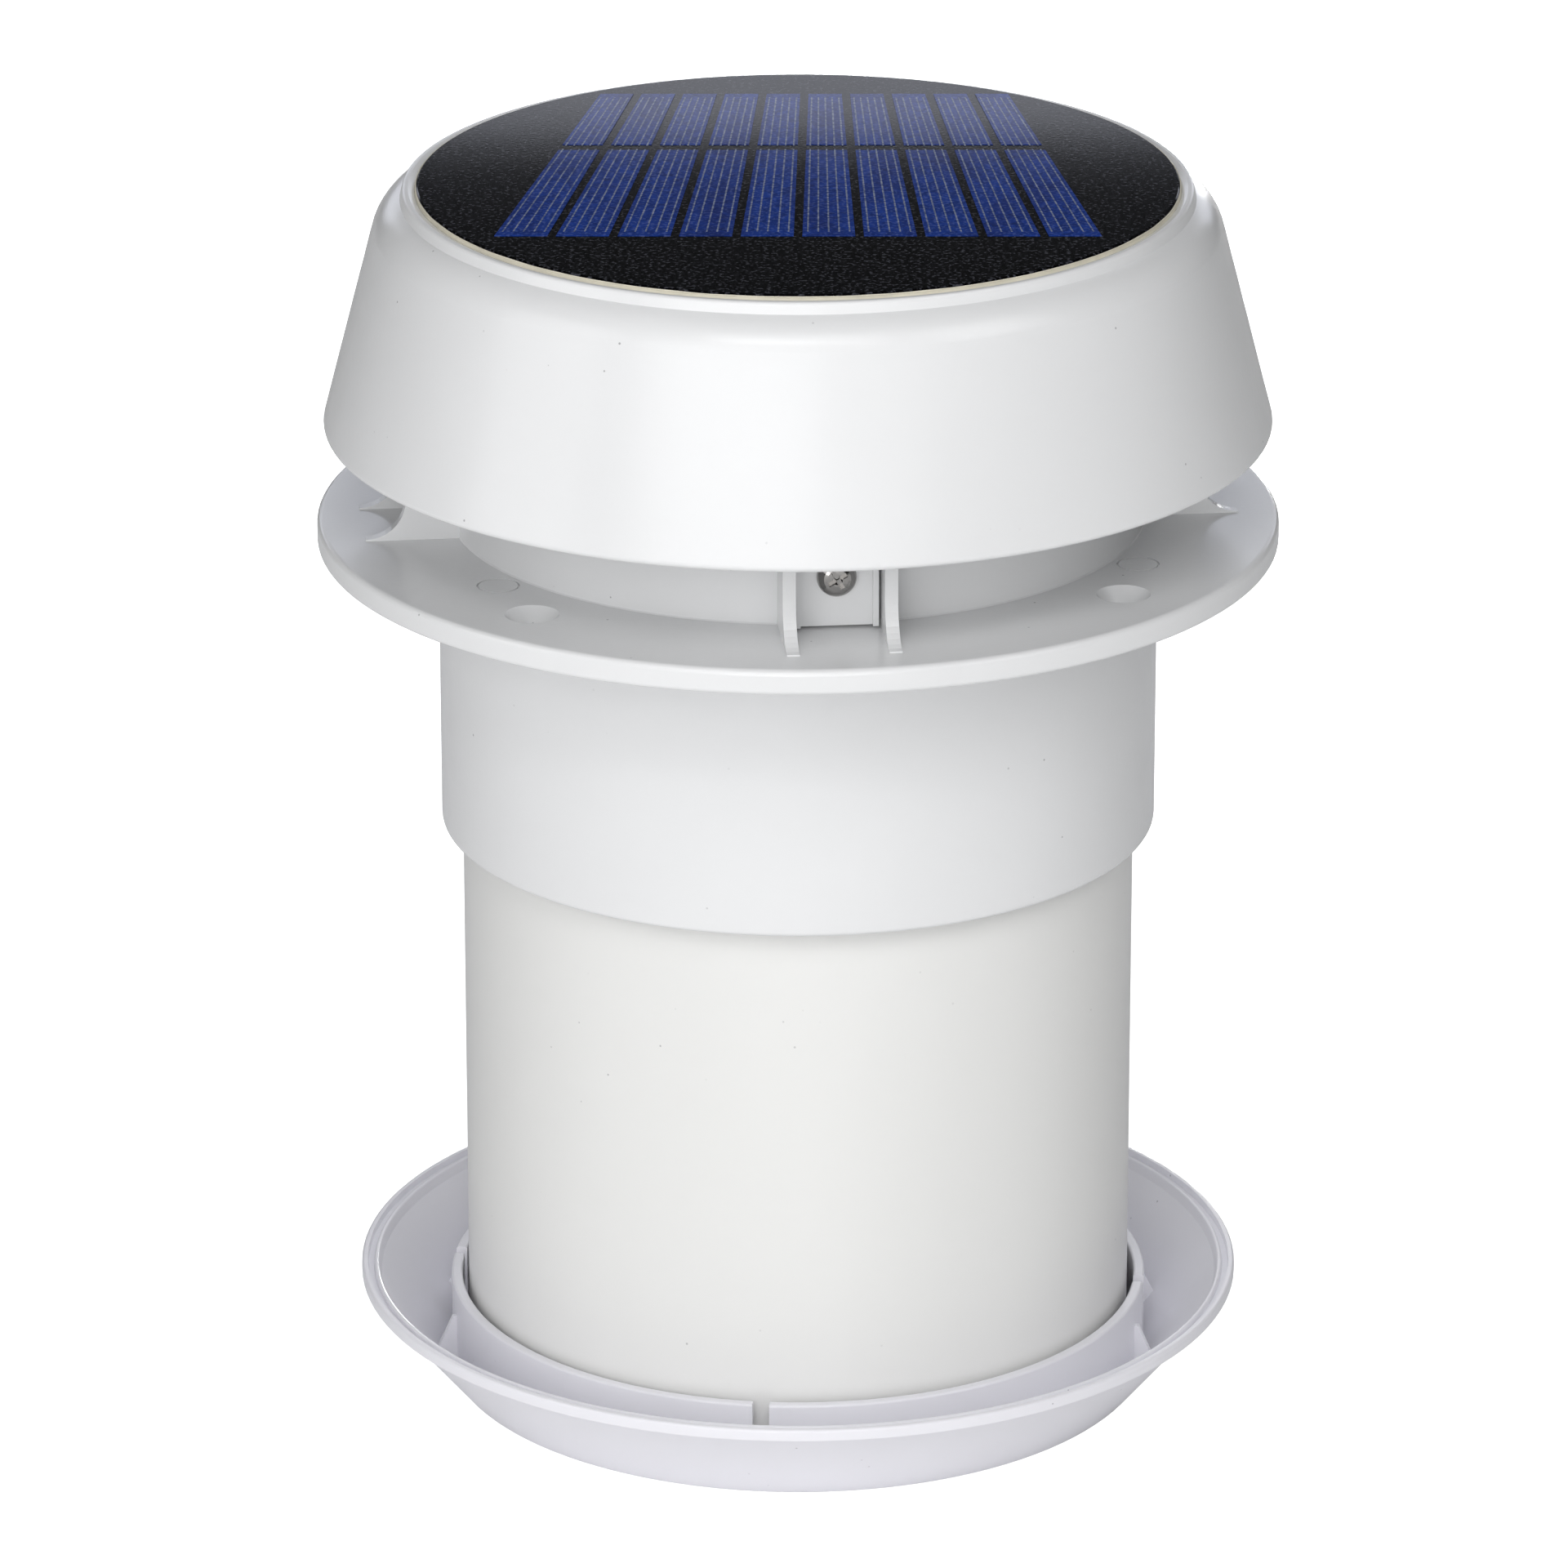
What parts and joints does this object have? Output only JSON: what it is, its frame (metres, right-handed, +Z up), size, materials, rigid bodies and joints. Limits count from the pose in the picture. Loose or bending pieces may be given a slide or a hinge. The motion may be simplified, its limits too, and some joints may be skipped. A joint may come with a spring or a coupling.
{
  "type": "solar attic fan",
  "caption": "Round solar roof ventilator: panel-topped hood over a flanged throat with a hidden fan, sliding duct and slotted ceiling ring.",
  "frame": {"origin": "centre of the ceiling ring's underside, the face that it stands on", "axes": "+Z up along the ventilator's axis towards the solar panel, -Y to the front bracket, +X to the right"},
  "size_m": [0.227, 0.227, 0.297],
  "materials": {
    "white_shell": "glossy cool-white ABS",
    "duct_plastic": "smooth warm-white extruded pipe",
    "ring_plastic": "satin lavender-white ABS",
    "housing_plastic": "moulded light-grey plastic",
    "panel_film": "textured clear film over black board",
    "cell_silicon": "deep blue silicon under film",
    "panel_adhesive": "beige sealing bead",
    "seal_rubber": "matt black rubber",
    "bright_steel": "bright nickel plate",
    "plain_steel": "zinc-plated steel",
    "magnet_ferrite": "dark ferrite",
    "dark_plastic": "moulded black plastic",
    "bronze": "sintered bronze",
    "copper": "copper",
    "enamel_wire": "enamelled copper wire",
    "fan_plastic": "moulded dark-grey nylon",
    "battery_wrap": "shrink sleeve",
    "nickel": "nickel strip",
    "wire_red": "silicone wire sleeve",
    "wire_black": "silicone wire sleeve",
    "board_green": "solder mask",
    "chip_black": "moulded epoxy",
    "ferrite_core": "sintered ferrite",
    "capacitor_can": "sleeved can",
    "connector_ivory": "nylon",
    "rocker_red": "glossy red plastic",
    "screen_wire": "woven wire"
  },
  "bodies": {
    "roof_unit": {"roof_flange": "white_shell", "roof_collar": "white_shell", "air_throat": "white_shell", "duct_seal": "seal_rubber", "hood": "white_shell", "hood_legs": "white_shell", "hood_screws": "bright_steel", "panel_board": "panel_film", "solar_cells": "cell_silicon", "panel_seal": "panel_adhesive", "lead_grommet": "seal_rubber", "panel_lead_red": "wire_red", "panel_lead_black": "wire_black", "motor_housing": "housing_plastic", "housing_gasket": "seal_rubber", "housing_screws": "plain_steel", "motor_can": "plain_steel", "motor_magnets": "magnet_ferrite", "motor_end_cap": "dark_plastic", "motor_bushes": "bronze", "motor_brushes": "copper", "motor_screws": "plain_steel", "motor_leads": "wire_red", "battery_cells": "battery_wrap", "battery_holder": "dark_plastic", "battery_contacts": "nickel", "battery_lead_red": "wire_red", "battery_lead_black": "wire_black", "control_board": "board_green", "board_screws": "plain_steel", "board_chips": "chip_black", "board_inductor": "ferrite_core", "board_capacitors": "capacitor_can", "board_connectors": "connector_ivory", "switch_body": "dark_plastic", "switch_leads": "wire_red"},
    "rotor": {"impeller": "fan_plastic", "impeller_nut": "plain_steel", "motor_shaft": "plain_steel", "armature_core": "plain_steel", "armature_windings": "enamel_wire", "commutator": "copper"},
    "rocker": {"switch_rocker": "rocker_red"},
    "duct": {"duct_tube": "duct_plastic"},
    "ceiling_ring": {"ceiling_ring": "ring_plastic", "inlet_grille": "ring_plastic", "insect_screen": "screen_wire", "screen_retainer": "ring_plastic", "retainer_screws": "plain_steel"}
  },
  "joints": [
    {"name": "fan_spin", "type": "hinge", "parent": "roof_unit", "child": "rotor", "pos_m": [0, 0, 0.232], "axis": [0, 0, 1], "continuous": true},
    {"name": "switch_rock", "type": "hinge", "parent": "roof_unit", "child": "rocker", "pos_m": [0.033, 0, 0.2536], "axis": [0, 1, 0], "range_deg": [-20, 0]},
    {"name": "duct_slide", "type": "slide", "parent": "roof_unit", "child": "duct", "axis": [0, 0, 1], "range_m": [-0.018, 0.035]},
    {"name": "ceiling_ring_slide", "type": "slide", "parent": "duct", "child": "ceiling_ring", "axis": [0, 0, 1], "range_m": [-0.022, 0]}
  ]
}
